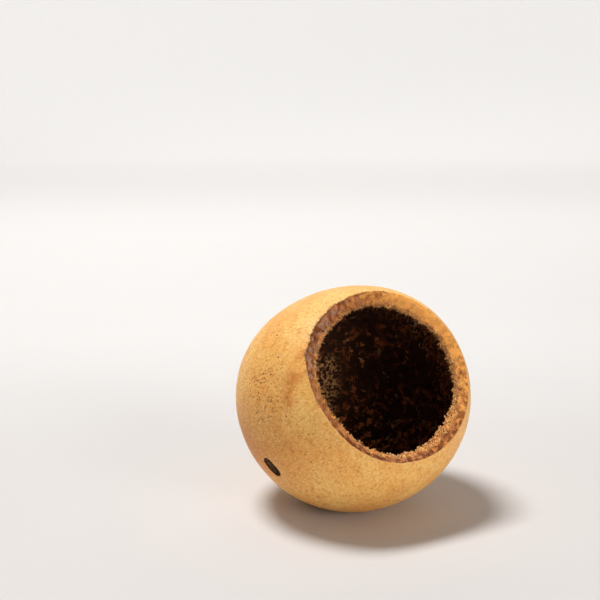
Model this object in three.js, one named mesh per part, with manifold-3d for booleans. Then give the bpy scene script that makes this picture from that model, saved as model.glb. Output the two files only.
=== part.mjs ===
// The woody rind of a dried round fruit, cut open as a cup.
// It lies on a small worn flat with its mouth tipped up, and a stem hole is drilled through its side.
// Millimetres, +Z up, and the mouth faces -Y. The origin is the middle of the cup's box, at its foot.
// The wall is worked out about the mouth axis: theta is the angle from that axis, phi the angle round it.
import * as THREE from "three";
import { ParametricGeometry } from "three/addons/geometries/ParametricGeometry.js";
import { mergeVertices } from "three/addons/utils/BufferGeometryUtils.js";
import Module from "manifold-3d";

// Driving dimensions
const FRUIT_RADIUS = 28.8;
const WALL = 3.2;
const MOUTH_RISE = 31; // degrees, the mouth axis above the horizontal
const OUTER_EDGE = 47.4; // degrees from the mouth axis to the rim's outer edge
const INNER_EDGE = 45.7; // degrees from the mouth axis to the rim's inner edge
const LENGTHENING = 0.2; // how far the fruit is drawn out along the mouth axis
const FLAT_DEPTH = 1; // how much of the fruit's underside is worn away
const HOLE_LENGTH = 5.5;
const HOLE_WIDTH = 3.8;
const HOLE_THETA = 93.8; // degrees
const HOLE_PHI = -152.7; // degrees
const HOLE_TURN = 4.6; // degrees from the direction round the mouth axis to the hole's length
const PULP_LUMPS = 0.35; // height of the dried pulp left on the inner face
const RIM_CROWN = 0.55; // how far the sawn face stands above a straight line between its edges
const HIGH_CROWN = 0.45; // how much further it stands at the middle of its high side
const HIGH_SIDE = { at: 45, spread: 45 }; // degrees round the mouth axis
const CREST = 1.4; // above 1 the crown's crest lies nearer to the inner edge
const LIP_WEAR = 0.55; // how far the skin is worn down at the rim's highest stretch
const WORN_LIP = { at: 58, spread: 24 }; // degrees round the mouth axis
const WEAR_FADE = 4; // degrees below the outer edge over which the wear fades
const SLANT = 2.5; // degrees, how much further out the rim's outer edge is where the cut slants most
const SLANTED_LIP = { at: 75, spread: 32 }; // degrees round the mouth axis

// Waves round the mouth axis: how many crests, how high, and where one of them is in degrees
const BODY_WAVES = [
  { crests: 2, height: 0.67, at: 4 },
  { crests: 3, height: 0.26, at: 35 },
  { crests: 4, height: 0.17, at: -35 },
];
// The same for the two edges of the rim, with heights in degrees of theta; the last ones are the saw's chips
const OUTER_EDGE_WAVES = [
  { crests: 2, height: 0.39, at: -71 },
  { crests: 3, height: 0.46, at: 55 },
  { crests: 4, height: 0.45, at: -29 },
  { crests: 13, height: 0.22, at: 5 },
];
const INNER_EDGE_WAVES = [
  { crests: 2, height: 1.38, at: 64 },
  { crests: 3, height: 0.5, at: 46 },
  { crests: 4, height: 0.66, at: -15 },
  { crests: 11, height: 0.4, at: 9 },
  { crests: 17, height: 0.35, at: 2 },
];

// How finely the wall is divided: round the mouth axis, and along its outer face, rim and inner face
const SIDES = 80;
const OUTER_ROWS = 20;
const RIM_ROWS = 4;
const INNER_ROWS = 16;
const HOLE_SIDES = 24;

const { degToRad, euclideanModulo, lerp, radToDeg } = THREE.MathUtils;
const AXIS_X = new THREE.Vector3(1, 0, 0);
const TIP = degToRad(90 - MOUTH_RISE); // from the mouth axis upright to the way that the cup lies
const wasm = await Module();
wasm.setup();

// The sum of some waves at one place round the mouth axis.
function ripple(waves, phi) {
  return waves.reduce((sum, w) => sum + w.height * Math.cos(w.crests * (phi - degToRad(w.at))), 0);
}

// A bell-shaped weight round the mouth axis: 1 at the middle of a stretch, and fading over its spread.
function near(phi, stretch) {
  const apart = euclideanModulo(radToDeg(phi) - stretch.at + 180, 360) - 180;
  return Math.exp(-((apart / stretch.spread) ** 2));
}

// How far the skin is worn down: most at the rim's outer edge, on the high side only.
function lipWear(theta, phi) {
  const below = Math.max(radToDeg(theta) - OUTER_EDGE, 0);
  return LIP_WEAR * near(phi, WORN_LIP) * Math.exp(-below / WEAR_FADE);
}

// Distance of the skin from the fruit's centre: a ball, a little drawn out, with waves that fade at its poles
// on the mouth axis, less the wear.
function skinRadius(theta, phi) {
  const drawn = LENGTHENING * (Math.cos(theta) ** 2 - 1 / 3);
  return FRUIT_RADIUS + drawn + Math.sin(theta) ** 2 * ripple(BODY_WAVES, phi) - lipWear(theta, phi);
}

// Distance of the inner face: the skin less the wall, with low lumps of dried pulp.
function liningRadius(theta, phi) {
  const lumps = (Math.sin(5 * phi + 3 * theta) * Math.cos(6 * theta) + Math.cos(3 * phi - 5 * theta)) / 2;
  return skinRadius(theta, phi) - WALL - PULP_LUMPS * Math.sin(theta) ** 2 * lumps;
}

function outerEdge(phi) {
  return degToRad(OUTER_EDGE + ripple(OUTER_EDGE_WAVES, phi) + SLANT * near(phi, SLANTED_LIP));
}

function innerEdge(phi) {
  return degToRad(INNER_EDGE + ripple(INNER_EDGE_WAVES, phi));
}

// A point given by its distance from the fruit's centre, theta and phi, with the mouth axis along +Z.
function polar(radius, theta, phi, target) {
  return target.setFromSphericalCoords(radius, theta, Math.PI / 2 + phi).applyAxisAngle(AXIS_X, Math.PI / 2);
}

// The wall's section at phi, row by row: up the skin to the rim, over the rim, and down the inner face.
function wallPoint(around, along, target) {
  const phi = around * 2 * Math.PI;
  const row = Math.round(along * (OUTER_ROWS + RIM_ROWS + INNER_ROWS));
  let theta;
  let radius;
  if (row <= OUTER_ROWS) {
    theta = lerp(Math.PI, outerEdge(phi), row / OUTER_ROWS);
    radius = skinRadius(theta, phi);
  } else if (row < OUTER_ROWS + RIM_ROWS) {
    const across = (row - OUTER_ROWS) / RIM_ROWS;
    const [outer, inner] = [outerEdge(phi), innerEdge(phi)];
    theta = lerp(outer, inner, across);
    const crown = (RIM_CROWN + HIGH_CROWN * near(phi, HIGH_SIDE)) * Math.sin(Math.PI * across ** CREST);
    radius = crown + lerp(skinRadius(outer, phi), liningRadius(inner, phi), across);
  } else {
    const down = (row - OUTER_ROWS - RIM_ROWS) / INNER_ROWS;
    theta = lerp(innerEdge(phi), Math.PI, down);
    radius = liningRadius(theta, phi);
  }
  polar(radius, theta, phi, target);
}

// A closed geometry as a solid: shared vertices are merged and the collapsed faces at the poles dropped.
function solidOf(geometry) {
  const bare = geometry.clone();
  bare.deleteAttribute("normal");
  bare.deleteAttribute("uv");
  const merged = mergeVertices(bare, 1e-4);
  const index = merged.index.array;
  const faces = [];
  for (let i = 0; i < index.length; i += 3) {
    const [a, b, c] = index.slice(i, i + 3);
    if (a !== b && b !== c && c !== a) faces.push(a, b, c);
  }
  const vertProperties = merged.attributes.position.array;
  return new wasm.Manifold(new wasm.Mesh({ numProp: 3, vertProperties, triVerts: new Uint32Array(faces) }));
}

function geometryOf(solid) {
  const mesh = solid.getMesh();
  const geometry = new THREE.BufferGeometry();
  geometry.setAttribute("position", new THREE.BufferAttribute(mesh.vertProperties, 3));
  geometry.setIndex(new THREE.BufferAttribute(mesh.triVerts, 1));
  geometry.computeVertexNormals();
  return geometry;
}

// The wall, tipped from its mouth axis to the way that it lies.
function wall() {
  const geometry = new ParametricGeometry(wallPoint, SIDES, OUTER_ROWS + RIM_ROWS + INNER_ROWS);
  return geometry.rotateX(TIP);
}

// The drill for the stem hole: oval, square to the skin and long enough to pass the wall on both sides.
function drill() {
  const phi = degToRad(HOLE_PHI);
  const outwards = polar(1, degToRad(HOLE_THETA), phi, new THREE.Vector3());
  const along = polar(1, Math.PI / 2, phi + Math.PI / 2, new THREE.Vector3());
  along.applyAxisAngle(outwards, degToRad(HOLE_TURN));
  const across = new THREE.Vector3().crossVectors(along, outwards);
  const geometry = new THREE.CylinderGeometry(HOLE_LENGTH / 2, HOLE_LENGTH / 2, 4 * WALL, HOLE_SIDES);
  geometry.scale(1, 1, HOLE_WIDTH / HOLE_LENGTH);
  geometry.applyMatrix4(new THREE.Matrix4().makeBasis(along, outwards, across));
  const centre = outwards.multiplyScalar(FRUIT_RADIUS - WALL / 2);
  return geometry.translate(centre.x, centre.y, centre.z).rotateX(TIP);
}

// The slab of the underside that is worn away.
function wear(lowest) {
  const geometry = new THREE.BoxGeometry(FRUIT_RADIUS, FRUIT_RADIUS, FRUIT_RADIUS);
  return geometry.translate(0, 0, lowest + FLAT_DEPTH - FRUIT_RADIUS / 2);
}

function cupShell() {
  const skin = wall();
  skin.computeBoundingBox();
  const solid = solidOf(skin).subtract(solidOf(drill())).subtract(solidOf(wear(skin.boundingBox.min.z)));
  const geometry = geometryOf(solid);
  const material = new THREE.MeshStandardMaterial({ color: 0xc99253, roughness: 0.55, metalness: 0 });
  const mesh = new THREE.Mesh(geometry, material);
  mesh.name = "cup_shell";
  geometry.computeBoundingBox();
  const box = geometry.boundingBox;
  const middle = box.getCenter(new THREE.Vector3());
  mesh.position.set(-middle.x, -middle.y, -box.min.z);
  return mesh;
}

const cup = new THREE.Group();
cup.add(cupShell());

export default cup;
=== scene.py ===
"""The woody rind of a dried round fruit, cut open as a cup: skin, sawn rim, fibrous inside and stem hole.

Lengths are millimetres until a mesh is made. The cup is worked out about its mouth axis: theta is the angle
from that axis and phi the angle round it, both seen from the middle of the fruit.
"""
import itertools

import bpy
import numpy as np
from mathutils import Matrix


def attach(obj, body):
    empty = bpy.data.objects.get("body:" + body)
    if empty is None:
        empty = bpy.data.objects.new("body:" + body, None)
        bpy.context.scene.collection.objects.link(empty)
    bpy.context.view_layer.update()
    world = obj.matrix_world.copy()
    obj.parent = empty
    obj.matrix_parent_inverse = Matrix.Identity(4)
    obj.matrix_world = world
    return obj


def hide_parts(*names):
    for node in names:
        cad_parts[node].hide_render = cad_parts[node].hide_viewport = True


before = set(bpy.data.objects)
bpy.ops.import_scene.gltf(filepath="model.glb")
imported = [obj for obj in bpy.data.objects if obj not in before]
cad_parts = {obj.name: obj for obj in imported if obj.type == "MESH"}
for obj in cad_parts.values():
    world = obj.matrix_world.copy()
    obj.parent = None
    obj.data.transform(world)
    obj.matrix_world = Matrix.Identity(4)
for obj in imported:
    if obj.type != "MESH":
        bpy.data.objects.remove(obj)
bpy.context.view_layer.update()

MM = 0.001

# The cup's driving dimensions, as in its solid; angles are in degrees
FRUIT_RADIUS = 28.8
FRUIT_CENTRE = np.array([0.07, -0.61, 27.38])
WALL = 3.2
MOUTH_RISE = 31
OUTER_EDGE = 47.4
INNER_EDGE = 45.7
LENGTHENING = 0.2
HOLE_LENGTH = 5.5
HOLE_WIDTH = 3.8
HOLE_THETA = 93.8
HOLE_PHI = -152.7
HOLE_TURN = 4.6
PULP_LUMPS = 0.35
RIM_CROWN = 0.55
HIGH_CROWN = 0.45
CREST = 1.4
LIP_WEAR = 0.55
WEAR_FADE = 4
SLANT = 2.5

# Stretches of the rim: the middle and the spread, in degrees round the mouth axis
HIGH_SIDE = (45, 45)
WORN_LIP = (58, 24)
SLANTED_LIP = (75, 32)

# Waves round the mouth axis: crests, height, and the place of one crest
BODY_WAVES = ((2, 0.67, 4), (3, 0.26, 35), (4, 0.17, -35))
OUTER_EDGE_WAVES = ((2, 0.39, -71), (3, 0.46, 55), (4, 0.45, -29))
INNER_EDGE_WAVES = ((2, 1.38, 64), (3, 0.5, 46), (4, 0.66, -15))

# Relief that only the dressed cup has; a fullness above 2 squares the hole's oval a little
SKIN_RELIEF = 0.05
FELT_RELIEF = 0.6
RIM_RELIEF = 0.42
OUTER_CHIPS = 0.45
INNER_TEARS = 0.5
EDGE_FADE = 5
HOLE_FULLNESS = 2.7

# How finely the wall is divided, and what follows from that
AROUND = 384
SKIN_ROWS = 146
RIM_ROWS = 22
LINING_ROWS = 86
HOLE_CELLS = 6
HOLE_REACH = 14
HOLE_ROWS = 6
LINING_START = SKIN_ROWS + RIM_ROWS - 1
ALL_ROWS = LINING_START + LINING_ROWS
ROUND_MOUTH = np.arange(AROUND) * 2 * np.pi / AROUND
RIM_ACROSS = (np.arange(1, RIM_ROWS) / RIM_ROWS)[:, None]
RIM_POINTS = slice(1 + SKIN_ROWS * AROUND, 1 + LINING_START * AROUND)
HOLE_DEPTHS = np.arange(1, HOLE_ROWS) / HOLE_ROWS

# The wall's materials, by number
SKIN, RIM, LINING, DRILLED = range(4)

# How many fibres, splinters and scabs are drawn, before some are dropped
TUFTS = 1050
TUFT_FIBRES = 6
CURLS = 5200
SPLINTERS = 4200
BURRS = 900
SCABS = 110

# Marks on the skin and in the pulp, and painted shade and orange reflected light on the flank:
# theta, phi, radius in millimetres, strength
STAINS = (
    (54, 171.6, 1.9, 0.7), (57, 172, 2.2, 0.4), (50, 172, 1.5, 0.3), (50.5, 160, 1.5, 0.5),
    (59.6, 178.4, 2.0, 0.6), (61.5, -176, 1.8, 0.7), (71.7, -156.2, 2.6, 0.4), (64, 168, 3.0, 0.3),
    (100, 60, 4.0, 0.6), (120, 20, 3.0, 0.5), (135, 110, 5.0, 0.5), (110, -40, 3.5, 0.4),
)
# Painted shade and orange reflected light on the flank by the stem hole
FLANK_SHADE_AND_BOUNCE = ((106, -166, 9, 0.9), (88, -176, 9, 0.2))
PORE_FIELD = ((76, 174, 8, 0.9),)
RUST_PATCHES = ((124, 53, 7, 0.55), (135, -28, 9, 0.95), (153, -3, 6, 0.7))

# Where the pale wall shows through the pulp, deep in the cup: theta, phi and radius in millimetres
BARE_PATCHES = ((145, 66, 4.0), (156, 58, 4.5), (166, 40, 3.5))

# Dark specks on the skin: theta and phi
SPECKS = (
    (67.1, 167.0), (71.9, 165.2), (83.0, 170.7), (74.3, 169.1), (58.5, -156.4),
    (97.9, -170.3), (64.2, -170.3), (67.8, -144.2), (67.9, 145.0), (63.1, 158.7),
)

# Loose pale threads: theta and phi of the start, length, width, heading in degrees, number of bends, and how
# far the middle lifts off the wall
THREADS = (
    (58, 45, 5.0, 0.05, 100, 0.9, 2.4),
    (60, 68, 2.6, 0.05, 250, 0.4, 1.6),
    (51, -100, 1.4, 0.06, 90, 0.8, 0.9),
    (112, -14, 3.0, 0.05, 30, 1.0, 0.9),
    (75, 8, 2.5, 0.05, 330, 0.7, 0.9),
)

# Colours, as six hexadecimal digits of sRGB
TAN = "f8b35a"
LIGHT_TAN = "ffcb74"
# Redder tan: painted shade and orange reflected light on the flank, and the rind's own redder patches
RED_TAN = "d87c18"
BLOTCH = "e49440"
DARK_STROKE = "c87a34"
PALE_STROKE = "ffdf9c"
DARK_GRAIN = "c07632"
STAIN = "cb7128"
PORE = "863800"
GREY_PURPLE = "b48c74"
RED_BROWN = "cc7e46"
ORANGE_TAN = "ffb056"
MOTTLE = "864018"
PALE_GRAIN = "fbb468"
# A darker brown for parts of the sawn face
DARKENED_BROWN = "743a1a"
# Cream chips, and the painted highlight along the rim's inner edge
CREAM = "ffcc7c"
PIT = "5a2808"
# Near black pulp, also the painted shade in the gaps between the lining's lumps
DARK_PULP_AND_GAP_SHADE = "452a1e"
RUST = "b06034"
BRIGHT_RUST = "e08c4c"
BARE_WALL = "eeb070"
BORE = "6a4834"
PALE_BORE = "b88c68"
DEEP_BORE = "331a0c"
# Painted shadow along the stem hole's lip
BORE_LIP_SHADOW = "2c1508"
PULP_FIBRE = ("44291d", "c8743a", "f2c48c")
RIM_FIBRE = ("84543c", "dc9458", "ffcf84")
SCAB = "7a3600"
THREAD = "e2d2bb"
PAPER = "d6d2d0"
PALE_PAPER = "d8d5d2"
BLACK = "000000"

# Where the camera stands: the cup's middle is at this place in the picture, this deep in front of the lens
VIEW_TURN = -28.13
VIEW_PITCH = 12.38
VIEW_DEPTH = 300
PICTURE = 600
CUP_PIXEL = (353.67, 397.24)
LENS = 72
SENSOR = 36
ABOVE = np.array([0, 0, 1.0])

MOUTH_FRAME = np.array([
    [1, 0, 0],
    [0, np.sin(np.radians(MOUTH_RISE)), np.cos(np.radians(MOUTH_RISE))],
    [0, -np.cos(np.radians(MOUTH_RISE)), np.sin(np.radians(MOUTH_RISE))],
])
MOUTH_AXIS = np.array([0, 0, 1.0])
ASKEW = np.array([0.31, 0.17, 0.94])


def unit(vectors):
    """Vectors scaled to length one."""
    return vectors / np.linalg.norm(vectors, axis=-1, keepdims=True)


def lattice_noise(points, seed, size=256):
    """Smooth random heights, about -1 to 1: every corner of a unit lattice, which repeats after its size, has
    a seeded random slope, and a point mixes the heights of the eight slopes round it by eased weights."""
    draw = np.random.default_rng(seed)
    order = draw.permutation(size)
    slopes = unit(draw.normal(size=(size, 3)))
    cell = np.floor(points).astype(int)
    inside = points - cell
    ease = inside ** 3 * (inside * (inside * 6 - 15) + 10)
    height = np.zeros(points.shape[:-1])
    for corner in itertools.product((0, 1), repeat=3):
        at = (cell + corner) % size
        pick = order[(order[(order[at[..., 0]] + at[..., 1]) % size] + at[..., 2]) % size]
        weight = np.prod(np.where(np.array(corner) == 1, ease, 1 - ease), axis=-1)
        height += weight * np.sum(slopes[pick] * (inside - corner), axis=-1)
    return 1.6 * height


def rough(points, size, seed, layers=3):
    """Lumps of a given size, with finer layers that are each half as large and half as high."""
    return sum(lattice_noise(points * (2 ** n / size), seed + n) / 2 ** n for n in range(layers))


def smooth(x, start=0.0, end=1.0):
    """An eased step from 0 at the start to 1 at the end."""
    x = np.clip((x - start) / (end - start), 0, 1)
    return x * x * (3 - 2 * x)


def near(phi, at, spread):
    """A bell-shaped weight round the mouth, 1 at one place and fading over a spread, in degrees."""
    gap = (np.degrees(phi) - at + 180) % 360 - 180
    return np.exp(-(gap / spread) ** 2)


def ripple(waves, phi):
    """Sum of the cosine waves round the mouth axis."""
    return sum(height * np.cos(crests * (phi - np.radians(at))) for crests, height, at in waves)


def towards(theta, phi):
    """Unit vectors from the fruit's middle, with the mouth axis as the third coordinate."""
    return np.stack([np.sin(theta) * np.cos(phi), np.sin(theta) * np.sin(phi), np.cos(theta)], axis=-1)


def angles(directions):
    """theta and phi of unit vectors."""
    theta = np.arccos(np.clip(directions[..., 2], -1, 1))
    return theta, np.arctan2(directions[..., 1], directions[..., 0])


def on_ball(theta, phi):
    """Points on a plain ball of the fruit's size, where the random heights are drawn."""
    return FRUIT_RADIUS * towards(theta, phi)


def patch(theta, phi, at_theta, at_phi, radius, power=2):
    """A bell-shaped patch: 1 at one place, and fading with the distance from it over the ball."""
    there = towards(np.radians(at_theta), np.radians(at_phi))
    apart = FRUIT_RADIUS * np.arccos(np.clip(towards(theta, phi) @ there, -1, 1))
    return np.exp(-(apart / radius) ** power)


def marks(theta, phi, places):
    """Sum of bell-shaped patches, each with its own strength."""
    return sum(strength * patch(theta, phi, *place) for *place, strength in places)


def skin_radius(theta, phi):
    """A ball a little drawn out, with waves that fade at its poles, and a faint unevenness."""
    drawn = LENGTHENING * (np.cos(theta) ** 2 - 1 / 3)
    ball = FRUIT_RADIUS + drawn + np.sin(theta) ** 2 * ripple(BODY_WAVES, phi)
    return ball + SKIN_RELIEF * rough(on_ball(theta, phi), size=5, seed=11) - lip_wear(theta, phi)


def pulp_radius(theta, phi):
    """The skin less the wall, with the low lumps of dried pulp."""
    lumps = (np.sin(5 * phi + 3 * theta) * np.cos(6 * theta) + np.cos(3 * phi - 5 * theta)) / 2
    return skin_radius(theta, phi) - WALL - PULP_LUMPS * np.sin(theta) ** 2 * lumps


def lining_radius(theta, phi):
    """The pulp with its felted surface."""
    return pulp_radius(theta, phi) + FELT_RELIEF * rough(on_ball(theta, phi), size=2.2, seed=21)


def lip_wear(theta, phi):
    """How far the skin is worn down: most at the rim's outer edge, on the high side only."""
    below = np.maximum(np.degrees(theta) - OUTER_EDGE, 0)
    return LIP_WEAR * near(phi, *WORN_LIP) * np.exp(-below / WEAR_FADE)


def rim_line(phi):
    """Points on a plain circle of the rim's size, on which its chips and tears are drawn."""
    return on_ball(np.full_like(phi, np.radians(OUTER_EDGE)), phi)


def outer_wave(phi):
    """theta of the rim's outer edge without its chips."""
    return np.radians(OUTER_EDGE + ripple(OUTER_EDGE_WAVES, phi) + SLANT * near(phi, *SLANTED_LIP))


def inner_wave(phi):
    """theta of the rim's inner edge without its tears."""
    return np.radians(INNER_EDGE + ripple(INNER_EDGE_WAVES, phi))


def outer_edge(phi):
    """theta of the rim's outer edge: its waves, and saw chips that are deepest on one side."""
    depth = OUTER_CHIPS * (0.2 + near(phi, 140, 38))
    chips = depth * rough(rim_line(phi), size=1.7, seed=31, layers=4)
    return outer_wave(phi) + chips / FRUIT_RADIUS


def inner_edge(phi):
    """theta of the rim's inner edge: its waves, and torn notches that are deepest on the low side."""
    depth = INNER_TEARS * (0.55 + 0.45 * near(phi, -70, 90))
    tears = depth * rough(rim_line(phi), size=1.4, seed=41)
    return inner_wave(phi) + tears / (FRUIT_RADIUS - WALL)


def rim_surface(phi, across):
    """theta and radius on the sawn face, from its outer edge at 0 to its inner edge at 1: a straight line
    between its two waves with a low crown, torn grain that fades out at both edges, and the chips and tears
    of each edge, which fade out quickly away from it."""
    outer, inner = outer_wave(phi), inner_wave(phi)
    by_outer, by_inner = (1 - across) ** EDGE_FADE, across ** EDGE_FADE
    theta = outer + (inner - outer) * across
    theta = theta + (outer_edge(phi) - outer) * by_outer + (inner_edge(phi) - inner) * by_inner
    skin, pulp = skin_radius(outer, phi), pulp_radius(inner, phi)
    straight = skin + (pulp - skin) * across
    edges = (skin_radius(outer_edge(phi), phi) - skin) * by_outer
    edges = edges + (lining_radius(inner_edge(phi), phi) - pulp) * by_inner
    crown = (RIM_CROWN + HIGH_CROWN * near(phi, *HIGH_SIDE)) * np.sin(np.pi * across ** CREST)
    fade = np.sqrt(np.abs(np.sin(np.pi * across)))
    grain = fade * rough(on_ball(theta, phi), size=1.5, seed=51)
    return theta, straight + edges + crown + RIM_RELIEF * grain


def to_part(points):
    """Points about the mouth axis placed in the part's frame, none below the surface under the cup."""
    placed = points @ MOUTH_FRAME + FRUIT_CENTRE
    placed[..., 2] = np.maximum(placed[..., 2], 0)
    return placed


def make_piece(name, points, quads, triangles, materials, numbers=None, **attributes):
    """A mesh object from arrays: points in the part's frame, faces of four and of three corners, a material
    number for each face, and named values for each point."""
    mesh = bpy.data.meshes.new(name)
    corners = np.concatenate([quads.ravel(), triangles.ravel()])
    starts = np.concatenate([
        np.arange(len(quads)) * 4,
        len(quads) * 4 + np.arange(len(triangles)) * 3,
    ])
    mesh.vertices.add(len(points))
    mesh.vertices.foreach_set("co", (points * MM).ravel())
    mesh.loops.add(len(corners))
    mesh.loops.foreach_set("vertex_index", corners)
    mesh.polygons.add(len(starts))
    mesh.polygons.foreach_set("loop_start", starts)
    mesh.update(calc_edges=True)
    mesh.polygons.foreach_set("use_smooth", np.ones(len(starts), bool))
    if numbers is not None:
        mesh.polygons.foreach_set("material_index", numbers)
    for material in materials:
        mesh.materials.append(material)
    for label, values in attributes.items():
        layer = mesh.attributes.new(label, "FLOAT", "POINT")
        layer.data.foreach_set("value", np.asarray(values, np.float32))
    mesh.validate()
    piece = bpy.data.objects.new(name, mesh)
    bpy.context.scene.collection.objects.link(piece)
    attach(piece, "root")
    return piece


def hole_opening(turn, radius):
    """Angle from the stem hole's axis to its edge in each direction round it, on a ball of a given radius: an
    oval whose two powers add up to one."""
    lie = turn - np.radians(HOLE_TURN)
    along = np.abs(np.cos(lie) / HOLE_LENGTH) ** HOLE_FULLNESS
    across = np.abs(np.sin(lie) / HOLE_WIDTH) ** HOLE_FULLNESS
    return np.arcsin(0.5 / (along + across) ** (1 / HOLE_FULLNESS) / radius)


def round_hole(theta, phi, middle, rise, radius):
    """A grid of directions drawn round the stem hole: cells in a square block are pushed outwards so that the
    block's inner square becomes the hole's oval, and the push fades out at the block's edge.
    middle is the block's row and column, and rise is 1 where rows climb towards the mouth, else -1."""
    rows, columns = np.indices(theta.shape)
    up = rise * (rows - middle[0])
    side = (columns - middle[1] + AROUND // 2) % AROUND - AROUND // 2
    step = np.maximum(np.abs(up), np.abs(side))
    spread = (step - HOLE_CELLS) / (HOLE_REACH - HOLE_CELLS)
    turn = np.arctan2(up, side)
    opening = hole_opening(turn, radius)
    away = opening + (HOLE_REACH * 2 * np.pi / AROUND - opening) * spread
    round_at = np.radians(HOLE_PHI)
    axis = towards(np.radians(HOLE_THETA), round_at)
    east = np.array([-np.sin(round_at), np.cos(round_at), 0])
    north = np.cross(axis, east)
    ring = np.cos(turn)[..., None] * east + np.sin(turn)[..., None] * north
    ring = np.cos(away)[..., None] * axis + np.sin(away)[..., None] * ring
    plain = towards(theta, phi)
    keep = smooth(spread)[..., None]
    drawn = unit(ring * (1 - keep) + plain * keep)
    return angles(np.where((step <= HOLE_REACH)[..., None], drawn, plain))


def hole_middle(theta):
    """Row and column of a grid nearest to the stem hole."""
    column = int(round(np.radians(HOLE_PHI % 360) / (2 * np.pi) * AROUND)) % AROUND
    return int(np.abs(theta[:, column] - np.radians(HOLE_THETA)).argmin()), column


def hole_loop(first_row, middle, rise):
    """Numbers of the points round the hole's edge, anticlockwise from outside."""
    run = np.arange(-HOLE_CELLS, HOLE_CELLS)
    edge = np.full(2 * HOLE_CELLS, HOLE_CELLS)
    up = np.concatenate([-edge, run, edge, -run])
    side = np.concatenate([run, edge, -run, -edge])
    return 1 + (first_row + middle[0] + rise * up) * AROUND + (middle[1] + side) % AROUND


def hole_cells(middle, rows):
    """Which cells of a grid lie in the hole's square."""
    row, column = np.indices((rows, AROUND))
    low = middle[0] - HOLE_CELLS
    side = (column - middle[1] + HOLE_CELLS) % AROUND
    return (row >= low) & (row < low + 2 * HOLE_CELLS) & (side < 2 * HOLE_CELLS)


def skin_grid():
    """theta and phi of the rows up the skin to the rim, drawn round the stem hole, and the hole's middle."""
    up = (np.arange(1, SKIN_ROWS + 1) / SKIN_ROWS)[:, None]
    theta = np.pi + (outer_edge(ROUND_MOUTH) - np.pi) * up
    phi = np.broadcast_to(ROUND_MOUTH, theta.shape)
    middle = hole_middle(theta)
    return *round_hole(theta, phi, middle, 1, FRUIT_RADIUS), middle


def rim_grid():
    """theta, phi and radius of the rows over the rim, between its two edges."""
    phi = np.broadcast_to(ROUND_MOUTH, (RIM_ROWS - 1, AROUND))
    theta, radius = rim_surface(phi, RIM_ACROSS)
    return theta, phi, radius


def lining_grid():
    """theta and phi of the rows down the inside from the rim, drawn round the stem hole, and its middle."""
    down = (np.arange(LINING_ROWS) / LINING_ROWS)[:, None]
    edge = inner_edge(ROUND_MOUTH)
    theta = edge + (np.pi - edge) * down
    phi = np.broadcast_to(ROUND_MOUTH, theta.shape)
    middle = hole_middle(theta)
    return *round_hole(theta, phi, middle, -1, FRUIT_RADIUS - WALL), middle


def wall_points(skin, rim, lining):
    """The points of all rows in order, after a pole on the skin and before a pole on the inside."""
    theta = np.concatenate([[np.pi], skin[0].ravel(), rim[0].ravel(), lining[0].ravel(), [np.pi]])
    phi = np.concatenate([[0], skin[1].ravel(), rim[1].ravel(), lining[1].ravel(), [0]])
    inside = slice(RIM_POINTS.stop, None)
    radius = skin_radius(theta, phi)
    radius[RIM_POINTS] = rim[2].ravel()
    radius[inside] = lining_radius(theta[inside], phi[inside])
    return radius[:, None] * towards(theta, phi)


def wall_cells(skin_middle, lining_middle):
    """Faces of four corners between the rows, without the stem hole's two squares, and their materials."""
    cell = 1 + np.arange((ALL_ROWS - 1) * AROUND).reshape(ALL_ROWS - 1, AROUND)
    beside = np.roll(cell, -1, axis=1)
    quads = np.stack([cell, beside, beside + AROUND, cell + AROUND], axis=-1)
    kind = np.repeat([SKIN, RIM, LINING], [SKIN_ROWS - 1, RIM_ROWS, LINING_ROWS - 1])[:, None]
    kind = np.broadcast_to(kind, cell.shape)
    in_hole = np.zeros(cell.shape, bool)
    in_hole[:SKIN_ROWS - 1] = hole_cells(skin_middle, SKIN_ROWS - 1)
    in_hole[LINING_START:] = hole_cells(lining_middle, LINING_ROWS - 1)
    return quads[~in_hole], kind[~in_hole]


def hole_tube(points, outside, inside):
    """The drilled wall: points on straight lines from the skin's loop to the inside's, and faces between."""
    depth = HOLE_DEPTHS[:, None, None]
    between = points[outside] * (1 - depth) + points[inside] * depth
    number = len(points) + np.arange(len(HOLE_DEPTHS) * len(outside)).reshape(len(HOLE_DEPTHS), -1)
    loops = np.vstack([outside, number, inside])
    after = np.roll(loops, -1, axis=1)
    quads = np.stack([loops[:-1], after[:-1], after[1:], loops[1:]], axis=-1)
    return between.reshape(-1, 3), quads.reshape(-1, 4)


def pole_fans():
    """Faces of three corners that close the skin and the inside at their poles, and their materials."""
    low = 1 + np.arange(AROUND)
    last = low + (ALL_ROWS - 1) * AROUND
    skin = np.stack([np.zeros(AROUND, int), np.roll(low, -1), low], axis=-1)
    lining = np.stack([np.full(AROUND, ALL_ROWS * AROUND + 1), last, np.roll(last, -1)], axis=-1)
    return np.concatenate([skin, lining]), np.repeat([SKIN, LINING], AROUND)


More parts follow.
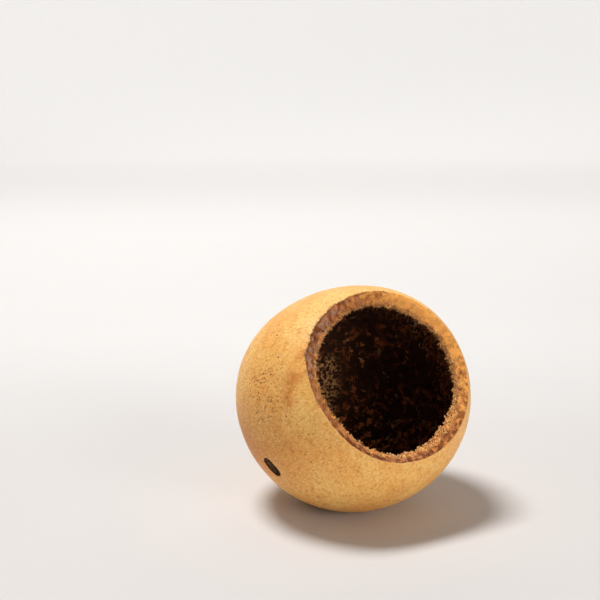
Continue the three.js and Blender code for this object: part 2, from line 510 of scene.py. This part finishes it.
def build_shell(materials):
    """The whole wall as one closed surface: rows up the skin, over the rim and down the inside, a point at
    each pole, and a short tube that joins the skin's side of the stem hole to the inside's."""
    *skin, skin_middle = skin_grid()
    *lining, lining_middle = lining_grid()
    rows = wall_points(skin, rim_grid(), lining)
    outside = hole_loop(0, skin_middle, 1)
    inside = hole_loop(LINING_START, lining_middle, -1)
    tube, tube_cells = hole_tube(rows, outside, inside)
    cells, cell_kind = wall_cells(skin_middle, lining_middle)
    triangles, fan_kind = pole_fans()
    points = np.concatenate([rows, tube])
    quads = np.concatenate([cells, tube_cells])
    kind = np.concatenate([cell_kind, np.full(len(tube_cells), DRILLED), fan_kind])
    across = np.zeros(len(points))
    across[RIM_POINTS] = np.repeat(RIM_ACROSS, AROUND)
    across[RIM_POINTS.stop:] = 1
    drilled = np.zeros(len(points))
    drilled[len(rows):] = np.repeat(HOLE_DEPTHS, len(outside))
    drilled[inside] = 1
    used = np.unique(np.concatenate([quads.ravel(), triangles.ravel()]))
    number = np.zeros(len(points), int)
    number[used] = np.arange(len(used))
    theta, phi = angles(unit(points[used]))
    across = across[used]
    piece = make_piece(
        "cup_shell_grown", to_part(points[used]), number[quads], number[triangles], materials, kind,
        stain=marks(theta, phi, STAINS),
        # shade: painted shade and orange reflected light on the flank, with the rind's own redder tone at
        # random
        shade=flank_shade_and_tone(theta, phi),
        pores=0.1 + marks(theta, phi, PORE_FIELD),
        warmth=rim_warmth(phi, across),
        # cream: cream chips, and a painted highlight along the inner edge on the high right and on the left
        cream=rim_chips_and_highlight(phi, across),
        soot=rim_soot(phi, across),
        torn=rim_tearing(phi, across),
        flecks=lining_flecks(theta, phi),
        rust=lining_rust(theta, phi),
        drilled=drilled[used],
    )
    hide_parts("cup_shell")


def flank_shade_and_tone(theta, phi):
    """Broad redder patches: painted shade and orange reflected light on the flank by the stem hole, and
    others at random, which are the rind's own tone.
    """
    patches = smooth(rough(on_ball(theta, phi), size=16, seed=71, layers=2), 0.05, 0.65)
    return np.clip(marks(theta, phi, FLANK_SHADE_AND_BOUNCE) + 0.25 * patches, 0, 1)


def rim_warmth(phi, across):
    """0 where the sawn face is grey purple, 0.5 where it is red brown and 1 where it is orange tan: orange on
    the high right with a browner inner edge, red brown on the low side with an orange inner edge."""
    high = np.clip(near(phi, 40, 50) + 0.6 * near(phi, -15, 35), 0, 1)
    low = near(phi, -95, 50)
    grey = near(phi, 145, 38)
    left = near(phi, 185, 30)
    fringe = smooth(across, 0.82, 0.98)
    inner = smooth(across, 0.45, 0.8)
    warm = 0.5 + high * (0.5 - 0.2 * fringe) + low * (0.3 * inner - 0.15) - (0.42 - 0.12 * inner) * grey
    return np.clip(warm + 0.3 * left * inner, 0, 1)


def rim_chips_and_highlight(phi, across):
    """How many cream chips the sawn face has: most along the inner edge of its low side, fewer on the right,
    and a pale line along the inner edge on the high right and on the left, which is a painted highlight."""
    low = 0.8 * near(phi, -85, 45) * smooth(across, 0.55, 0.9)
    right = 0.35 * near(phi, -15, 30) * smooth(across, 0.5, 0.9)
    # Painted highlight: a pale line along the inner edge on the high right and on the left
    high = 0.7 * near(phi, 55, 45) * smooth(across, 0.7, 0.95)
    left = 0.8 * near(phi, 170, 45) * smooth(across, 0.72, 0.92)
    return np.clip(low + right + high + left, 0, 1)


def rim_tearing(phi, across):
    """How torn the sawn face is: little on the high right, and most on the low side, on the upper left and
    along the inner edge."""
    clean = near(phi, 50, 45) * (1 - smooth(across, 0.8, 1.0))
    low = near(phi, -85, 55)
    left = near(phi, 130, 45)
    return 0.9 - 0.75 * clean + 0.35 * low + 0.35 * left


def rim_soot(phi, across):
    """How dark the sawn face is: its outer half on the low side, its outer edge on the upper left, and its
    whole width on the lower left."""
    low = near(phi, -95, 45) * (1 - smooth(across, 0.5, 0.8))
    upper_left = near(phi, 140, 35) * (1 - smooth(across, 0.0, 0.3))
    lower_left = near(phi, -140, 25)
    return np.clip(low + 0.7 * upper_left + 0.55 * lower_left, 0, 1)


def lining_flecks(theta, phi):
    """How much of the pale wall shows through the pulp: the largest of some patches with steep edges."""
    return np.maximum.reduce([patch(theta, phi, *place, power=4) for place in BARE_PATCHES])


def lining_rust(theta, phi):
    """How rusty the pulp is: some patches beside the pale one, and others at random."""
    scattered = smooth(rough(on_ball(theta, phi), size=6, seed=81, layers=2), -0.05, 0.45)
    return np.clip(0.15 + 0.45 * scattered + marks(theta, phi, RUST_PATCHES), 0, 1)


def sliver(roots, along, bend, length, width, curl, steps=4, flat=1.0):
    """Closed tapering slivers with a three-cornered section. Each follows an arc that leaves its root along
    one direction and turns by curl radians towards its bend direction, and narrows to a fine tip.
    Returns points, quads and triangles."""
    least_curl, bluntness = 1e-3, 0.02
    t = np.linspace(0, 1, steps + 1)[None, :, None]
    angle = np.maximum(np.abs(curl), least_curl)[:, None, None]
    reach = length[:, None, None] / angle
    arc = np.sin(angle * t) * along[:, None] + (1 - np.cos(angle * t)) * bend[:, None]
    path = roots[:, None] + reach * arc
    side = unit(np.cross(along, bend))[:, None]
    heading = np.cos(angle * t) * along[:, None] + np.sin(angle * t) * bend[:, None]
    over = np.cross(heading, np.broadcast_to(side, heading.shape))
    taper = width[:, None, None] * np.sqrt(1 + bluntness - t ** 2)
    corner = np.arange(3) * 2 * np.pi / 3
    spread = np.cos(corner)[:, None] * side[:, :, None] + flat * np.sin(corner)[:, None] * over[:, :, None]
    points = path[:, :, None] + taper[..., None] * spread
    count, rings = points.shape[:2]
    first = np.arange(count)[:, None, None] * rings * 3
    number = first + np.arange(rings * 3).reshape(rings, 3)
    after = np.roll(number, -1, axis=2)
    quads = np.stack([number[:, :-1], after[:, :-1], after[:, 1:], number[:, 1:]], axis=-1).reshape(-1, 4)
    triangles = np.concatenate([number[:, 0, ::-1], number[:, -1]])
    return points.reshape(-1, 3), quads, triangles


def make_slivers(name, material, tint, *arcs, **section):
    """A piece made of slivers that each have one tint."""
    points, quads, triangles = sliver(*arcs, **section)
    tint = np.repeat(tint, len(points) // len(tint))
    make_piece(name, to_part(points), quads, triangles, [material], tint=tint)


def tangents(directions, turn):
    """Unit vectors square to the given ones, turned round them by an angle."""
    east = unit(np.cross(ASKEW, directions))
    north = np.cross(directions, east)
    return np.cos(turn)[:, None] * east + np.sin(turn)[:, None] * north


def crosswise(draw, along):
    """Unit vectors square to the given ones, at random."""
    return unit(np.cross(along, draw.normal(size=along.shape)))


def build_felt(material):
    """Dried pulp fibres in tufts over the inside: the tufts are spread evenly by area and lie in directions
    that change slowly over the wall; the fibres of one share its direction and tint, with some scatter, and
    their tips curl up off the wall."""
    draw = np.random.default_rng(seed=5)
    count = TUFTS * TUFT_FIBRES
    scatter = 0.4
    phi = draw.uniform(0, 2 * np.pi, TUFTS)
    lip = np.cos(inner_edge(phi)) - 0.05
    theta = np.arccos(-1 + (1 + lip) * draw.uniform(0, 1, TUFTS))
    middles = on_ball(theta, phi)
    clump = smooth(rough(middles, size=3.2, seed=61, layers=2), -0.1, 0.3)
    rusty = 0.35 + 1.15 * lining_rust(theta, phi)
    tint = 1.6 * draw.beta(1.1, 1.7, TUFTS) * (0.2 + 0.8 * clump) * rusty
    tint += lining_flecks(theta, phi) * clump * draw.uniform(0, 0.7, TUFTS)
    lie = 4 * rough(middles, size=9, seed=62, layers=1) + draw.normal(0, 0.5, TUFTS)
    theta = np.repeat(theta, TUFT_FIBRES) + draw.normal(0, scatter, count) / FRUIT_RADIUS
    phi = np.repeat(phi, TUFT_FIBRES) + draw.normal(0, scatter, count) / (FRUIT_RADIUS * np.sin(theta))
    directions = towards(theta, phi)
    roots = (lining_radius(theta, phi) + 0.05)[:, None] * directions
    along = tangents(directions, np.repeat(lie, TUFT_FIBRES) + draw.normal(0, 0.3, count))
    along = unit(along - draw.uniform(0.1, 0.4, count)[:, None] * directions)
    length = draw.uniform(0.9, 2.6, count)
    width = draw.uniform(0.06, 0.17, count)
    curl = draw.uniform(0.3, 1.3, count)
    tint = np.clip(np.repeat(tint, TUFT_FIBRES) * draw.uniform(0.5, 1.2, count), 0, 1)
    make_slivers("pulp_fibres", material, tint, roots, along, directions, length, width, curl)


def build_curls(material):
    """Curly fibres a little way inside the rim, thickest on the high right: each springs off the wall and
    curls over by up to half a turn."""
    draw = np.random.default_rng(seed=7)
    phi = draw.uniform(0, 2 * np.pi, CURLS)
    thick = np.clip(0.12 + near(phi, 50, 50) + 0.7 * near(phi, -5, 35), 0, 1)
    phi = phi[draw.uniform(0, 1, len(phi)) < thick]
    count = len(phi)
    theta = inner_edge(phi) + np.radians(10 + 34 * draw.uniform(0, 1, count) ** 1.2)
    directions = towards(theta, phi)
    roots = (lining_radius(theta, phi) + 0.05)[:, None] * directions
    along = unit(tangents(directions, draw.uniform(0, 2 * np.pi, count)) - 0.7 * directions)
    bend = crosswise(draw, along)
    length = draw.uniform(0.8, 2.2, count)
    width = draw.uniform(0.05, 0.11, count)
    curl = draw.uniform(0.8, 3.0, count)
    tint = np.clip(draw.normal(0.4, 0.18, count), 0, 1)
    make_slivers("lip_curls", material, tint, roots, along, bend, length, width, curl, steps=6)


def build_fringe(material):
    """Torn splinters along the rim's inner edge, leaning in over the mouth: stubby cream chips on the low
    side, longer fibres on the right, and few on the left."""
    draw = np.random.default_rng(seed=6)
    phi = draw.uniform(0, 2 * np.pi, SPLINTERS)
    few = near(phi, 185, 65)
    phi = phi[draw.uniform(0, 1, len(phi)) > 0.25 + 0.65 * few]
    count = len(phi)
    low = np.clip(near(phi, -90, 45) + 0.7 * near(phi, -45, 30), 0, 1)
    right = near(phi, 5, 40)
    across = 1 - (0.16 + 0.2 * low) * draw.uniform(0, 1, count) ** 1.5
    theta, radius = rim_surface(phi, across)
    directions = towards(theta, phi)
    roots = (radius - 0.1)[:, None] * directions
    inward = -np.stack([np.cos(phi), np.sin(phi), np.zeros(count)], axis=-1)
    lean = inward * draw.uniform(0.2, 1.0, count)[:, None]
    lean = lean + MOUTH_AXIS * draw.uniform(-0.2, 0.6, count)[:, None]
    along = unit(lean + 0.8 * tangents(directions, draw.uniform(0, 2 * np.pi, count)))
    bend = crosswise(draw, along)
    length = draw.uniform(0.25, 0.8, count) * (1 - 0.35 * low + 0.9 * right)
    width = draw.uniform(0.05, 0.12, count) * (1 + 1.1 * low + 0.2 * right)
    curl = draw.uniform(0.2, 1.0, count)
    tint = np.clip(0.58 + 0.08 * low + 0.12 * right + draw.normal(0, 0.28, count), 0, 1)
    make_slivers("rim_splinters", material, tint, roots, along, bend, length, width, curl, steps=3, flat=0.6)


def build_burr(material):
    """Short dark fibres along the rim's outer edge on the left, where the saw tore the skin: they leave the
    edge and lean out over the skin."""
    draw = np.random.default_rng(seed=9)
    full_turn = 6.28
    phi = np.radians(draw.normal(138, 26, BURRS))
    across = 0.14 * draw.uniform(0, 1, BURRS) ** 2
    theta, radius = rim_surface(phi, across)
    directions = towards(theta, phi)
    roots = (radius - 0.08)[:, None] * directions
    down = np.stack([np.cos(theta) * np.cos(phi), np.cos(theta) * np.sin(phi), -np.sin(theta)], axis=-1)
    lean = draw.uniform(0, 1, BURRS)[:, None] * down
    aside = tangents(directions, draw.uniform(0, full_turn, BURRS))
    along = unit(lean + aside + 0.3 * directions)
    bend = crosswise(draw, along)
    length = draw.uniform(0.25, 0.75, BURRS)
    width = draw.uniform(0.04, 0.1, BURRS)
    curl = draw.uniform(0.2, 1.2, BURRS)
    tint = np.clip(draw.normal(0.12, 0.16, BURRS), 0, 1)
    make_slivers("saw_burr", material, tint, roots, along, bend, length, width, curl, steps=3, flat=0.7)


def build_specks(material):
    """Small dark scabs on the skin: six-sided lenses that are low and a little oval, the listed ones and
    others scattered by area."""
    draw = np.random.default_rng(seed=8)
    listed = np.radians(SPECKS)
    scattered = np.arccos(draw.uniform(-1, np.cos(np.radians(56)), SCABS))
    theta = np.concatenate([listed[:, 0], scattered])
    phi = np.concatenate([listed[:, 1], draw.uniform(-np.pi, np.pi, SCABS)])
    size = np.concatenate([np.full(len(listed), 0.3), draw.uniform(0.08, 0.24, SCABS)])
    count, sides = len(theta), 6
    directions = towards(theta, phi)
    middle = skin_radius(theta, phi)[:, None] * directions
    turn = draw.uniform(0, 2 * np.pi, count)
    corner = np.arange(sides)
    angle = (corner * np.pi / 3)[:, None]
    one, other = tangents(directions, turn)[:, None], tangents(directions, turn + np.pi / 2)[:, None]
    reach = size[:, None, None] * draw.uniform(0.7, 1.2, (count, sides, 1))
    ring = middle[:, None] + reach * (np.cos(angle) * one + 0.55 * np.sin(angle) * other)
    ring = ring + 0.01 * directions[:, None]
    top = middle + 0.05 * directions
    bottom = middle - 0.15 * directions
    points = np.concatenate([ring, top[:, None], bottom[:, None]], axis=1).reshape(-1, 3)
    first = np.arange(count)[:, None] * (sides + 2)
    ahead = np.roll(corner, -1)
    upper = np.stack([first + corner, first + ahead, first + np.full(sides, sides)], axis=-1)
    lower = np.stack([first + ahead, first + corner, first + np.full(sides, sides + 1)], axis=-1)
    triangles = np.concatenate([upper.reshape(-1, 3), lower.reshape(-1, 3)])
    make_piece("skin_specks", to_part(points), np.zeros((0, 4), int), triangles, [material])


def build_threads(material):
    """Loose pale threads caught on the pulp: each is a thin five-sided tube along a line that swings to both
    sides and lifts off the wall in the middle."""
    theta, phi, length, width, heading, bends, lift = np.array(THREADS).T
    theta, phi = np.radians(theta), np.radians(phi)
    t = np.linspace(0, 1, 25)
    directions = towards(theta, phi)
    roots = (lining_radius(theta, phi) - 0.25)[:, None] * directions
    along = tangents(directions, np.radians(heading))
    aside = np.cross(directions, along)
    ahead = length[:, None] * t
    swing = 0.16 * length[:, None] * np.sin(2 * np.pi * bends[:, None] * t)
    rise = lift[:, None] * np.sin(np.pi * t)
    path = roots[:, None] + ahead[..., None] * along[:, None] + swing[..., None] * aside[:, None]
    path = path - rise[..., None] * directions[:, None]
    heading = unit(np.gradient(path, axis=1))
    side = unit(np.cross(heading, directions[:, None]))
    over = np.cross(side, heading)
    corner = np.arange(5) * 2 * np.pi / 5
    spread = np.cos(corner)[:, None] * side[:, :, None] + np.sin(corner)[:, None] * over[:, :, None]
    points = path[:, :, None] + width[:, None, None, None] * spread
    number = np.arange(points[..., 0].size).reshape(points.shape[:-1])
    after = np.roll(number, -1, axis=2)
    quads = np.stack([number[:, :-1], number[:, 1:], after[:, 1:], after[:, :-1]], axis=-1).reshape(-1, 4)
    ends = np.concatenate([number[:, 0], number[:, -1, ::-1]])
    triangles = np.concatenate([ends[:, [0, 1, 2]], ends[:, [0, 2, 3]], ends[:, [0, 3, 4]]])
    make_piece("loose_threads", to_part(points.reshape(-1, 3)), quads, triangles, [material])


def linear(colour):
    """A colour written as six hexadecimal digits of sRGB, as linear red, green, blue and alpha."""
    s = np.array([int(colour[i:i + 2], 16) for i in (0, 2, 4)]) / 255
    return (*np.where(s <= 0.04045, s / 12.92, ((s + 0.055) / 1.055) ** 2.4), 1.0)


class Finish:
    """A material being made: each method adds nodes and gives back their output."""

    def __init__(self, name, roughness, specular):
        """A plain shader, and places on the piece in millimetres."""
        self.material = bpy.data.materials.new(name)
        self.material.use_nodes = True
        self.tree = self.material.node_tree
        self.shader = self.tree.nodes["Principled BSDF"]
        self.shader.inputs["Roughness"].default_value = roughness
        self.shader.inputs["Specular IOR Level"].default_value = specular
        place = self.tree.nodes.new("ShaderNodeTexCoord").outputs["Object"]
        self.place = self.vector("SCALE", {0: place, "Scale": 1 / MM})

    def node(self, kind, settings, inputs):
        """A node with some settings, and with each input linked to an output or set to a value."""
        made = self.tree.nodes.new(kind)
        for label, value in settings.items():
            setattr(made, label, value)
        for label, value in inputs.items():
            socket = made.inputs[label]
            if isinstance(value, bpy.types.NodeSocket):
                self.tree.links.new(value, socket)
            else:
                socket.default_value = value
        return made

    def vector(self, operation, inputs, output="Vector"):
        """An operation on vectors."""
        return self.node("ShaderNodeVectorMath", {"operation": operation}, inputs).outputs[output]

    def maths(self, operation, a, b=0.0):
        """An operation on one or two numbers."""
        return self.node("ShaderNodeMath", {"operation": operation}, {0: a, 1: b}).outputs[0]

    def times(self, a, b):
        """The product of two numbers."""
        return self.maths("MULTIPLY", a, b)

    def value(self, label):
        """One of the piece's own values for each point."""
        return self.node("ShaderNodeAttribute", {"attribute_name": label}, {}).outputs["Fac"]

    def along(self, place, direction):
        """Distance of a place along a direction of the part's frame."""
        return self.vector("DOT_PRODUCT", {0: place, 1: tuple(direction)}, "Value")

    def noise(self, size, detail=3.0, roughness=0.6, place=None):
        """Noise whose lumps are about size millimetres."""
        inputs = {"Vector": place or self.place, "Scale": 1 / size, "Detail": detail, "Roughness": roughness}
        return self.node("ShaderNodeTexNoise", {}, inputs).outputs["Fac"]

    def meridian(self, stretch):
        """Places over the skin whose distances towards the mouth are shortened by a stretch, so that noise is
        drawn out that way: the direction round the mouth axis on a circle, and the angle from that axis."""
        offset = self.vector("SUBTRACT", {0: self.place, 1: tuple(FRUIT_CENTRE)})
        spot = self.vector("NORMALIZE", {0: offset})
        x, y, z = [self.along(spot, axis) for axis in MOUTH_FRAME]
        flat = self.node("ShaderNodeCombineXYZ", {}, {0: x, 1: y}).outputs[0]
        ring = self.vector("SCALE", {0: self.vector("NORMALIZE", {0: flat}), "Scale": FRUIT_RADIUS})
        height = self.times(self.maths("ARCCOSINE", z), FRUIT_RADIUS / stretch)
        rise = self.node("ShaderNodeCombineXYZ", {}, {2: height}).outputs[0]
        return self.vector("ADD", {0: ring, 1: rise})

    def step(self, value, low, high, to_low=0.0, to_high=1.0):
        """A value carried from one range to another by an eased step, and held at its ends."""
        inputs = {"Value": value, "From Min": low, "From Max": high, "To Min": to_low, "To Max": to_high}
        settings = {"interpolation_type": "SMOOTHSTEP"}
        return self.node("ShaderNodeMapRange", settings, inputs).outputs["Result"]

    def mix(self, factor, a, b):
        """A colour between two, which are outputs or hexadecimal digits."""
        a, b = [linear(colour) if isinstance(colour, str) else colour for colour in (a, b)]
        return self.node("ShaderNodeMix", {"data_type": "RGBA"}, {0: factor, 6: a, 7: b}).outputs[2]

    def bump(self, height, distance, strength, normal=None):
        """A surface roughened by a height of up to a distance in millimetres, on top of another if given."""
        inputs = {"Height": height, "Distance": distance * MM, "Strength": strength}
        if normal is not None:
            inputs["Normal"] = normal
        return self.node("ShaderNodeBump", {}, inputs).outputs["Normal"]

    def done(self, colour, normal):
        """The finished material."""
        self.tree.links.new(colour, self.shader.inputs["Base Color"])
        self.tree.links.new(normal, self.shader.inputs["Normal"])
        return self.material


def skin_pores(skin):
    """Dark dashes in scattered fields and thin winding wrinkles, where the pores stand thick."""
    dashes = skin.noise(size=0.5, detail=2, place=skin.meridian(1.4))
    fields = skin.noise(size=2.2, detail=2)
    pore = skin.times(skin.step(dashes, 0.57, 0.62), skin.step(fields, 0.42, 0.55))
    winding = skin.noise(size=0.9, detail=2, roughness=0.5)
    level = skin.maths("ABSOLUTE", skin.maths("SUBTRACT", winding, 0.5))
    pore = skin.maths("MAXIMUM", pore, skin.step(level, 0.02, 0.0, 0, 0.5))
    return skin.times(pore, skin.value("pores"))


def skin_finish():
    """Tan rind: broad patches, fine grain drawn out towards the mouth, orange stains, pores and wrinkles."""
    skin = Finish("tan_rind", roughness=0.5, specular=0.3)
    broad = skin.noise(size=9, detail=4)
    blotch = skin.noise(size=2, detail=3, roughness=0.65)
    strokes = skin.noise(size=0.5, detail=3, roughness=0.7, place=skin.meridian(1.7))
    grain = skin.noise(size=0.4, detail=2, roughness=0.7)
    ragged = skin.noise(size=1.6, detail=4, roughness=0.7)
    stain = skin.times(skin.value("stain"), skin.step(ragged, 0.32, 0.52))
    pore = skin_pores(skin)
    colour = skin.mix(skin.step(broad, 0.3, 0.7), TAN, LIGHT_TAN)
    # Redder tan on the flank by the stem hole is painted shade and orange reflected light; elsewhere it is
    # the rind's own tone
    colour = skin.mix(skin.times(skin.value("shade"), 0.8), colour, RED_TAN)
    colour = skin.mix(skin.step(blotch, 0.5, 0.7, 0, 0.6), colour, BLOTCH)
    colour = skin.mix(skin.step(strokes, 0.53, 0.66, 0, 0.6), colour, DARK_STROKE)
    colour = skin.mix(skin.step(strokes, 0.47, 0.34, 0, 0.5), colour, PALE_STROKE)
    colour = skin.mix(skin.step(grain, 0.54, 0.68, 0, 0.45), colour, DARK_GRAIN)
    colour = skin.mix(skin.times(stain, 0.75), colour, STAIN)
    colour = skin.mix(pore, colour, PORE)
    normal = skin.bump(strokes, distance=0.06, strength=0.7)
    return skin.done(colour, skin.bump(pore, distance=-0.04, strength=0.8, normal=normal))


def rim_finish():
    """Sawn face: grey purple through red brown to orange tan, with cream chips, a painted highlight along
    part of the inner edge, pale grains and dark pits.
    """
    rim = Finish("sawn_rim", roughness=0.85, specular=0.2)
    grain = rim.noise(size=0.6, detail=4, roughness=0.75)
    blotch = rim.noise(size=1.5, detail=3, roughness=0.65)
    mottle = rim.noise(size=1.2, detail=3, roughness=0.7)
    chips = rim.noise(size=1.1, detail=3, roughness=0.65)
    torn = rim.value("torn")
    warm = rim.maths("ADD", rim.value("warmth"), rim.step(blotch, 0.3, 0.7, -0.3, 0.3))
    dark = rim.times(torn, rim.step(mottle, 0.49, 0.55, 0, 0.85))
    pale = rim.times(rim.step(grain, 0.52, 0.6), rim.step(torn, 0.1, 1.2, 0.75, 0.35))
    soot = rim.times(rim.value("soot"), rim.step(mottle, 0.4, 0.53))
    # Cream chips, and a painted highlight along the inner edge on the high right and on the left
    cream = rim.times(rim.value("cream"), rim.step(chips, 0.51, 0.55))
    pit = rim.times(rim.step(grain, 0.46, 0.38), rim.step(blotch, 0.6, 0.44, 0.1, 1.0))
    colour = rim.mix(rim.step(warm, 0.0, 0.5), GREY_PURPLE, RED_BROWN)
    colour = rim.mix(rim.step(warm, 0.5, 1.0), colour, ORANGE_TAN)
    colour = rim.mix(dark, colour, MOTTLE)
    colour = rim.mix(pale, colour, PALE_GRAIN)
    # Darker brown on the outer half of the low side, the outer edge on the upper left, and the lower left
    colour = rim.mix(soot, colour, DARKENED_BROWN)
    colour = rim.mix(cream, colour, CREAM)
    colour = rim.mix(rim.times(pit, torn), colour, PIT)
    return rim.done(colour, rim.bump(grain, distance=0.28, strength=0.85))


def lining_finish():
    """Dried pulp: near black brown, with rusty clumps and the pale wall showing through in one place. The
    clumps sit on the bump's lumps, so the dark in the gaps between them is painted shade on the pulp's own
    dark.
    """
    lining = Finish("dried_pulp", roughness=0.95, specular=0.1)
    grain = lining.noise(size=2.2, detail=4, roughness=0.62)
    gaps = lining.noise(size=0.9, detail=3)
    rust = lining.value("rust")
    # The colour follows the bump's noise: rust on the lumps, and dark in the gaps, which is painted shade
    # over the pulp's own dark brown
    clump = lining.times(lining.step(grain, 0.5, 0.6), lining.step(rust, 0.0, 0.8))
    bright = lining.times(lining.step(grain, 0.55, 0.63), lining.step(rust, 0.6, 1.0))
    show = lining.times(lining.value("flecks"), lining.step(gaps, 0.47, 0.54))
    colour = lining.mix(clump, DARK_PULP_AND_GAP_SHADE, RUST)
    colour = lining.mix(bright, colour, BRIGHT_RUST)
    colour = lining.mix(show, colour, BARE_WALL)
    return lining.done(colour, lining.bump(grain, distance=0.6, strength=0.9))


def hole_finish():
    """Drilled wall: streaky brown, darker towards the inside, with a painted shadow at its lip."""
    bore = Finish("drilled_wall", roughness=0.7, specular=0.2)
    streak = bore.step(bore.noise(size=0.5, detail=3, roughness=0.7), 0.35, 0.65)
    depth = bore.value("drilled")
    colour = bore.mix(streak, BORE, PALE_BORE)
    colour = bore.mix(bore.step(depth, 0.3, 0.8), colour, DEEP_BORE)
    # Painted shadow along the hole's lip
    colour = bore.mix(bore.step(depth, 0.2, 0.0), colour, BORE_LIP_SHADOW)
    return bore.done(colour, bore.bump(streak, distance=0.15, strength=0.7))


def plain_finish(name, colour, roughness):
    """One even colour with a faint mottle."""
    plain = Finish(name, roughness, specular=0.2)
    mottle = plain.noise(size=0.4)
    shade = plain.mix(plain.step(mottle, 0.3, 0.7, 0, 0.3), colour, BLACK)
    return plain.done(shade, plain.bump(mottle, distance=0.02, strength=0.5))


def fibre_finish(name, dark, middle, pale):
    """Fibres tinted one by one from dark through middle to pale."""
    fibre = Finish(name, roughness=0.8, specular=0.2)
    tint = fibre.value("tint")
    colour = fibre.mix(fibre.step(tint, 0.0, 0.5), dark, middle)
    colour = fibre.mix(fibre.step(tint, 0.45, 1.0), colour, pale)
    return fibre.done(colour, fibre.bump(fibre.noise(size=0.3), distance=0.03, strength=0.5))


def view_axes():
    """The picture's right, up and backward directions in the part's frame."""
    turn, pitch = np.radians(VIEW_TURN), np.radians(VIEW_PITCH)
    right = np.array([np.cos(turn), np.sin(turn), 0])
    level = np.array([np.sin(turn), -np.cos(turn), 0])
    up = ABOVE * np.cos(pitch) - level * np.sin(pitch)
    back = level * np.cos(pitch) + ABOVE * np.sin(pitch)
    return right, up, back


def paper_finish():
    """White paper that glows a little more with the distance behind the cup, and not far to either side."""
    paper = Finish("white_paper", roughness=0.9, specular=0.1)
    right, _, back = view_axes()
    behind = paper.along(paper.place, -unit(back * [1, 1, 0]))
    aside = paper.maths("ABSOLUTE", paper.along(paper.place, right))
    glow = paper.maths("ADD", paper.step(behind, 0, 180, 0, 0.15), paper.step(behind, 80, 560, 0, 0.28))
    glow = paper.maths("ADD", glow, paper.step(behind, 550, 1100, 0, 0.2))
    glow = paper.times(glow, paper.step(aside, 900, 500))
    paper.shader.inputs["Emission Color"].default_value = (1, 0.99, 0.97, 1)
    paper.tree.links.new(glow, paper.shader.inputs["Emission Strength"])
    colour = paper.mix(paper.noise(size=40, detail=2), PAPER, PALE_PAPER)
    return paper.done(colour, paper.bump(paper.noise(size=2), distance=0.01, strength=0.1))


def build_floor():
    """A pale floor that rises in a quarter circle to an upright wall all round: a profile turned about the
    vertical, and one face that closes its middle."""
    sides, flat, bend, height = 96, 900.0, 500.0, 900.0
    quarter = np.linspace(0, np.pi / 2, 24)
    out = np.concatenate([[0.5, 200, 500], flat + bend * np.sin(quarter), [flat + bend]])
    up = np.concatenate([[0, 0, 0], bend * (1 - np.cos(quarter)), [bend + height]])
    turn = np.arange(sides) * 2 * np.pi / sides
    x, y = out[:, None] * np.cos(turn), out[:, None] * np.sin(turn)
    points = np.stack([x, y, np.broadcast_to(up[:, None], x.shape)], axis=-1)
    number = np.arange(x.size).reshape(x.shape)
    after = np.roll(number, -1, axis=1)
    quads = np.stack([number[:-1], number[1:], after[1:], after[:-1]], axis=-1).reshape(-1, 4)
    mesh = bpy.data.meshes.new("floor")
    mesh.from_pydata((points.reshape(-1, 3) * MM).tolist(), [], quads.tolist() + [number[0].tolist()])
    mesh.polygons.foreach_set("use_smooth", np.ones(len(mesh.polygons), bool))
    mesh.materials.append(paper_finish())
    floor = bpy.data.objects.new("floor", mesh)
    bpy.context.scene.collection.objects.link(floor)


def placed(name, data, axes, place):
    """An object at a place in millimetres whose own axes are the three given ones."""
    matrix = np.eye(4)
    matrix[:3, :3] = np.stack(axes, axis=1)
    matrix[:3, 3] = place * MM
    made = bpy.data.objects.new(name, data)
    made.matrix_world = Matrix(matrix.tolist())
    bpy.context.scene.collection.objects.link(made)
    return made


def build_camera():
    """A level camera that puts the cup's middle at its place in the picture."""
    right, up, back = view_axes()
    per_pixel = VIEW_DEPTH * SENSOR / LENS / PICTURE
    aside = (CUP_PIXEL[0] - PICTURE / 2) * per_pixel
    below = (CUP_PIXEL[1] - PICTURE / 2) * per_pixel
    lens = bpy.data.cameras.new("camera")
    lens.lens = LENS
    lens.sensor_width = SENSOR
    lens.clip_start = 0.01
    place = FRUIT_CENTRE - aside * right + below * up + VIEW_DEPTH * back
    bpy.context.scene.camera = placed("camera", lens, (right, up, back), place)


def build_lamp(name, direction, distance, width, depth, power, spread):
    """An oval soft lamp that faces the cup from a direction; lengths in millimetres, power in watts, and the
    spread of its beam in degrees. Its width runs along the picture."""
    lamp = bpy.data.lights.new(name, "AREA")
    lamp.shape = "ELLIPSE"
    lamp.size = width * MM
    lamp.size_y = depth * MM
    lamp.energy = power
    lamp.spread = np.radians(spread)
    back = unit(direction)
    right = view_axes()[0]
    right = unit(right - back * (right @ back))
    placed(name, lamp, (right, np.cross(back, right), back), FRUIT_CENTRE + distance * back)


def build_light():
    """A key lamp high on the left, a weak one low in front, and a faint even surround."""
    right, _, back = view_axes()
    level = unit(back * [1, 1, 0])
    high = ABOVE - 0.3 * right - 0.1 * level
    build_lamp("key", high, distance=1200, width=430, depth=360, power=3.4, spread=90)
    low = level + 0.9 * right + 0.3 * ABOVE
    build_lamp("front", low, distance=800, width=600, depth=500, power=0.42, spread=60)
    world = bpy.data.worlds.new("surround")
    world.use_nodes = True
    surround = world.node_tree.nodes["Background"]
    surround.inputs["Color"].default_value = (1, 1, 1, 1)
    surround.inputs["Strength"].default_value = 0.17
    bpy.context.scene.world = world
    bpy.context.scene.view_settings.view_transform = "Standard"


build_shell([skin_finish(), rim_finish(), lining_finish(), hole_finish()])
pulp_fibre = fibre_finish("pulp_fibre", *PULP_FIBRE)
build_felt(pulp_fibre)
build_curls(pulp_fibre)
rim_splinter = fibre_finish("rim_splinter", *RIM_FIBRE)
build_fringe(rim_splinter)
build_burr(rim_splinter)
build_specks(plain_finish("dark_scab", SCAB, roughness=0.9))
build_threads(plain_finish("pale_thread", THREAD, roughness=0.6))
build_floor()
build_camera()
build_light()
